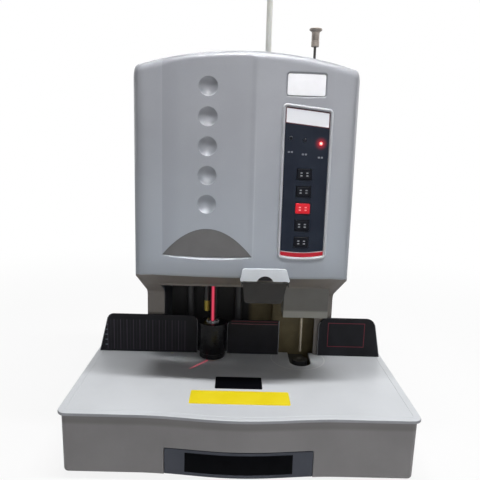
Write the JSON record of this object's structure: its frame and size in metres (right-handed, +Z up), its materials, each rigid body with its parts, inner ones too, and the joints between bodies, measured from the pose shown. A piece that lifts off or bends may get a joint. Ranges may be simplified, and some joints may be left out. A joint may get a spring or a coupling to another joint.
{
  "type": "paper drill",
  "caption": "Desk paper drill with a tall motor head over a wide table: it drills at the left, rivets with nylon tube at the right, and has a chip drawer.",
  "frame": {"origin": "centre of the footprint, on the surface that the feet stand on", "axes": "+X to the right seen from the front, +Y to the back, +Z up"},
  "size_m": [0.41, 0.35, 0.571],
  "materials": {
    "table_paint": "fine textured pale grey paint",
    "shell_grey": "fine grained grey moulded plastic",
    "base_grey": "fine textured mid grey paint",
    "inlay_grey": "satin dark grey plastic",
    "white_plastic": "smooth white plastic",
    "fence_black": "satin black powder coat",
    "black_plastic": "satin black plastic",
    "foot_rubber": "matt rubber",
    "plated_steel": "zinc plated sheet",
    "yellow_zinc": "yellow passivated zinc plate",
    "machined_steel": "ground steel",
    "cast_alloy": "machined cast alloy",
    "laser_brass": "turned brass",
    "motor_black": "black enamel",
    "nylon": "smooth natural nylon",
    "smoked_clear": "smoked clear plastic",
    "overlay_navy": "printed film",
    "lamp_red": "moulded lamp lens",
    "button_dark": "moulded key cap",
    "button_red": "lit key cap",
    "circuit_green": "solder mask"
  },
  "bodies": {
    "root": {"rubber_feet": "foot_rubber", "base_plate": "plated_steel", "base_shell": "base_grey", "table_top": "table_paint", "drill_pad": "nylon", "left_fence": "fence_black", "middle_fence": "fence_black", "right_fence": "fence_black", "rear_cover": "shell_grey", "front_cover": "shell_grey", "half_moon_inlay": "inlay_grey", "name_plate": "white_plastic", "panel_bezel": "shell_grey", "panel_overlay": "overlay_navy", "panel_board": "circuit_green", "status_lamps": "lamp_red", "rivet_cover": "shell_grey", "outlet_cowl": "white_plastic", "column_frame": "yellow_zinc", "top_bridge": "cast_alloy", "rod_block": "cast_alloy", "guide_rods": "machined_steel", "stepper_motors": "motor_black", "rivet_bracket": "cast_alloy", "die_arm": "cast_alloy", "lower_die": "machined_steel", "feed_bracket": "plated_steel", "feed_motor": "motor_black", "tube_guide": "nylon", "power_board": "circuit_green", "power_inlet": "black_plastic", "cover_screws": "machined_steel"},
    "drawer": {"drawer_tray": "plated_steel", "drawer_front": "base_grey"},
    "drill_carriage": {"drill_carriage": "cast_alloy", "drill_motor": "motor_black", "laser_module": "laser_brass", "presser_spring": "machined_steel"},
    "spindle": {"spindle": "machined_steel", "drill_bit": "machined_steel"},
    "presser": {"presser_foot": "black_plastic", "presser_rod": "machined_steel"},
    "lift_screw": {"lift_screw": "machined_steel"},
    "rivet_ram": {"rivet_carriage": "cast_alloy", "rivet_ram": "machined_steel", "rivet_head": "motor_black"},
    "rivet_screw": {"rivet_screw": "machined_steel"},
    "centring_pin": {"centring_pin": "machined_steel", "pin_knob": "machined_steel"},
    "rivet_tube": {"rivet_tube": "nylon"},
    "feed_roller": {"feed_roller": "foot_rubber"},
    "pinch_roller": {"pinch_roller": "foot_rubber"},
    "cutter_blade": {"cutter_blade": "machined_steel"},
    "smoked_guard": {"smoked_guard": "smoked_clear"},
    "power_switch": {"power_switch": "black_plastic"},
    "button_1": {"button_1": "button_dark"},
    "button_2": {"button_2": "button_dark"},
    "button_3": {"button_3": "button_red"},
    "button_4": {"button_4": "button_dark"},
    "button_5": {"button_5": "button_dark"}
  },
  "joints": [
    {"name": "drawer_slide", "type": "slide", "parent": "root", "child": "drawer", "axis": [0, -1, 0], "range_m": [0, 0.12]},
    {"name": "drill_feed", "type": "slide", "parent": "root", "child": "drill_carriage", "axis": [0, 0, 1], "range_m": [0, 0.05]},
    {"name": "spindle_spin", "type": "hinge", "parent": "drill_carriage", "child": "spindle", "pos_m": [-0.039, -0.0045, 0.18], "axis": [0, 0, 1], "continuous": true},
    {"name": "presser_slide", "type": "slide", "parent": "drill_carriage", "child": "presser", "axis": [0, 0, 1], "range_m": [0, 0.018], "stiffness_N_per_m": 600, "springref_m": -0.008, "deforming": ["presser_spring"]},
    {"name": "lift_screw_turn", "type": "hinge", "parent": "root", "child": "lift_screw", "pos_m": [-0.039, 0.044, 0.2], "axis": [0, 0, 1], "range_deg": [-5, 2260]},
    {"name": "rivet_feed", "type": "slide", "parent": "root", "child": "rivet_ram", "axis": [0, 0, -1], "range_m": [0, 0.05]},
    {"name": "rivet_screw_turn", "type": "hinge", "parent": "root", "child": "rivet_screw", "pos_m": [0.0845, 0.028, 0.3], "axis": [0, 0, 1], "range_deg": [-5, 2260]},
    {"name": "pin_lift", "type": "slide", "parent": "root", "child": "centring_pin", "axis": [0, 0, 1], "range_m": [0, 0.05]},
    {"name": "tube_feed", "type": "slide", "parent": "root", "child": "rivet_tube", "axis": [0, 0, -1], "range_m": [0, 0.024]},
    {"name": "feed_roller_turn", "type": "hinge", "parent": "root", "child": "feed_roller", "pos_m": [0.0368, -0.0345, 0.33], "axis": [0, -1, 0], "range_deg": [-5, 165]},
    {"name": "pinch_roller_turn", "type": "hinge", "parent": "root", "child": "pinch_roller", "pos_m": [0.0112, -0.0345, 0.33], "axis": [0, 1, 0], "range_deg": [-5, 165]},
    {"name": "cutter_stroke", "type": "slide", "parent": "root", "child": "cutter_blade", "axis": [1, 0, 0], "range_m": [0, 0.012], "stiffness_N_per_m": 200},
    {"name": "guard_swing", "type": "hinge", "parent": "root", "child": "smoked_guard", "pos_m": [0.027, -0.0895, 0.2132], "axis": [-1, 0, 0], "range_deg": [0, 75]},
    {"name": "power_switch_rock", "type": "hinge", "parent": "root", "child": "power_switch", "pos_m": [0.085, 0.167, 0.032], "axis": [1, 0, 0], "range_deg": [-16, 0]},
    {"name": "button_1_press", "type": "slide", "parent": "root", "child": "button_1", "axis": [0, 1, 0], "range_m": [0, 0.001], "stiffness_N_per_m": 300},
    {"name": "button_2_press", "type": "slide", "parent": "root", "child": "button_2", "axis": [0, 1, 0], "range_m": [0, 0.001], "stiffness_N_per_m": 300},
    {"name": "button_3_press", "type": "slide", "parent": "root", "child": "button_3", "axis": [0, 1, 0], "range_m": [0, 0.001], "stiffness_N_per_m": 300},
    {"name": "button_4_press", "type": "slide", "parent": "root", "child": "button_4", "axis": [0, 1, 0], "range_m": [0, 0.001], "stiffness_N_per_m": 300},
    {"name": "button_5_press", "type": "slide", "parent": "root", "child": "button_5", "axis": [0, 1, 0], "range_m": [0, 0.001], "stiffness_N_per_m": 300}
  ],
  "couplings": [
    {"joint": "lift_screw_turn", "follows": "drill_feed", "rad_per_m": 785.4},
    {"joint": "rivet_screw_turn", "follows": "rivet_feed", "rad_per_m": 785.4},
    {"joint": "feed_roller_turn", "follows": "tube_feed", "rad_per_m": 111.11},
    {"joint": "pinch_roller_turn", "follows": "tube_feed", "rad_per_m": 111.11}
  ]
}
